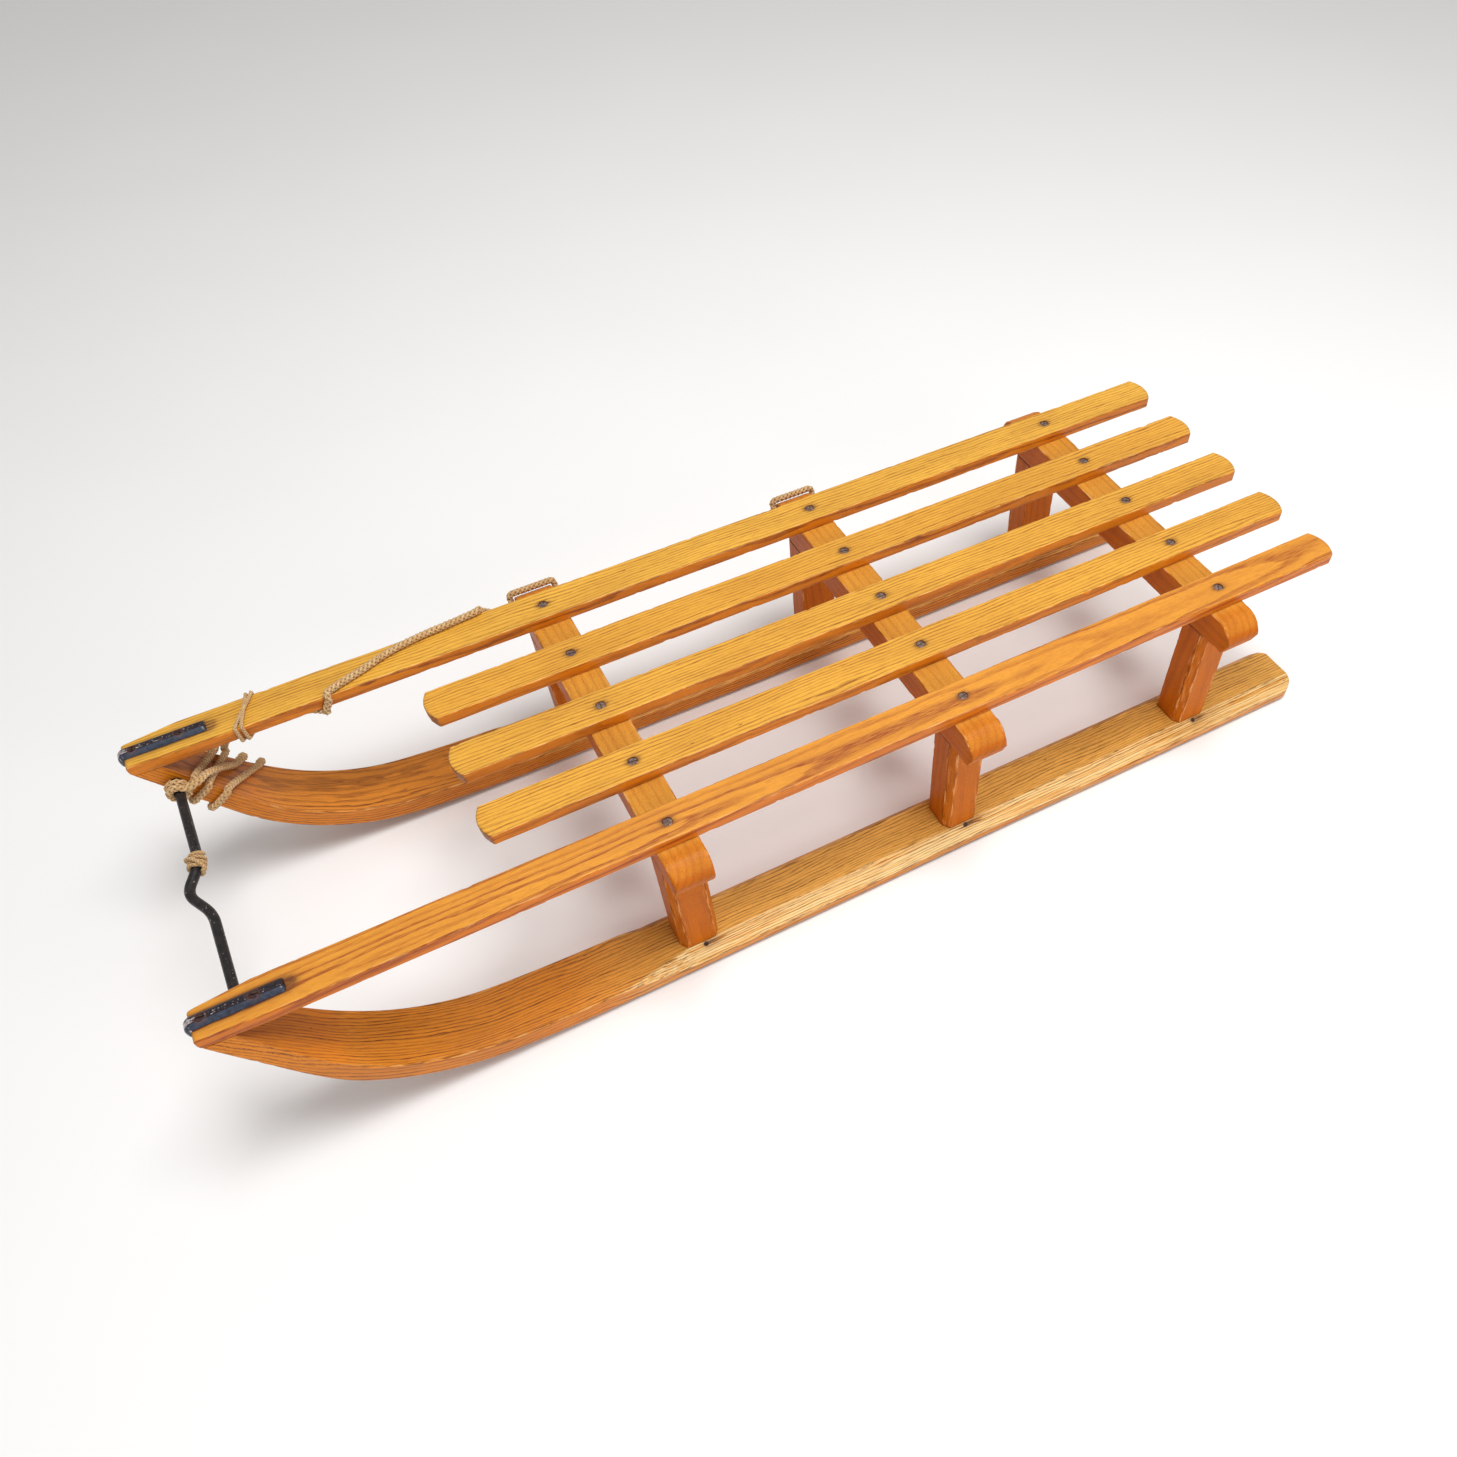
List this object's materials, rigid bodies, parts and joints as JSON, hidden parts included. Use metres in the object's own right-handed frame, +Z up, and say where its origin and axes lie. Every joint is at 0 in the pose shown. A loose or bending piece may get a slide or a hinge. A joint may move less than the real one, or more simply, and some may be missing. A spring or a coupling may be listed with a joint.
{
  "type": "wooden runner sled",
  "caption": "Wooden slatted sled on two bent, steel-shod runners, with trestles, a turning draw iron between the horns and a stowed tow rope.",
  "frame": {"origin": "on the ground, midway between the front and rear ends and midway between the sides", "axes": "+Z up, -Y towards the upturned horns at the front, +X towards the rider's left"},
  "size_m": [0.412, 1.148, 0.2023],
  "materials": {
    "slat_ash": "worn clear varnish over honey-yellow ash",
    "runner_ash": "worn clear varnish over bent ash",
    "trestle_beech": "worn varnish over beech, chipped at the edges",
    "black_steel": "black, blue sheen, chipped to bare and rusty steel along the crown",
    "rod_steel": "black, slightly glossy",
    "rusty_steel": "tarnished, rust brown",
    "jute_rope": "dry braided jute"
  },
  "bodies": {
    "frame": {"crossbar_front": "trestle_beech", "crossbar_middle": "trestle_beech", "crossbar_rear": "trestle_beech", "nose_screw_left_1": "rusty_steel", "nose_screw_left_2": "rusty_steel", "nose_screw_right_1": "rusty_steel", "nose_screw_right_2": "rusty_steel", "post_left_front": "trestle_beech", "post_left_middle": "trestle_beech", "post_left_rear": "trestle_beech", "post_nail_left_front": "rusty_steel", "post_nail_left_middle": "rusty_steel", "post_nail_left_rear": "rusty_steel", "post_nail_right_front": "rusty_steel", "post_nail_right_middle": "rusty_steel", "post_nail_right_rear": "rusty_steel", "post_right_front": "trestle_beech", "post_right_middle": "trestle_beech", "post_right_rear": "trestle_beech", "rope_stowed": "jute_rope", "runner_left": "runner_ash", "runner_right": "runner_ash", "runner_steel_left": "black_steel", "runner_steel_right": "black_steel", "shoe_screw_left_1": "rusty_steel", "shoe_screw_left_2": "rusty_steel", "shoe_screw_left_3": "rusty_steel", "shoe_screw_left_4": "rusty_steel", "shoe_screw_right_1": "rusty_steel", "shoe_screw_right_2": "rusty_steel", "shoe_screw_right_3": "rusty_steel", "shoe_screw_right_4": "rusty_steel", "slat_centre": "slat_ash", "slat_left_inner": "slat_ash", "slat_left_outer": "slat_ash", "slat_right_inner": "slat_ash", "slat_right_outer": "slat_ash", "slat_screw_centre_front": "rusty_steel", "slat_screw_centre_middle": "rusty_steel", "slat_screw_centre_rear": "rusty_steel", "slat_screw_left_inner_front": "rusty_steel", "slat_screw_left_inner_middle": "rusty_steel", "slat_screw_left_inner_rear": "rusty_steel", "slat_screw_left_outer_front": "rusty_steel", "slat_screw_left_outer_middle": "rusty_steel", "slat_screw_left_outer_rear": "rusty_steel", "slat_screw_right_inner_front": "rusty_steel", "slat_screw_right_inner_middle": "rusty_steel", "slat_screw_right_inner_rear": "rusty_steel", "slat_screw_right_outer_front": "rusty_steel", "slat_screw_right_outer_middle": "rusty_steel", "slat_screw_right_outer_rear": "rusty_steel"},
    "draw_iron": {"draw_iron": "rod_steel", "rope_bow_knot": "jute_rope"}
  },
  "joints": [
    {"name": "draw_iron_turn", "type": "hinge", "parent": "frame", "child": "draw_iron", "pos_m": [0, -0.54138, 0.16281], "axis": [1, 0, 0], "continuous": true}
  ]
}
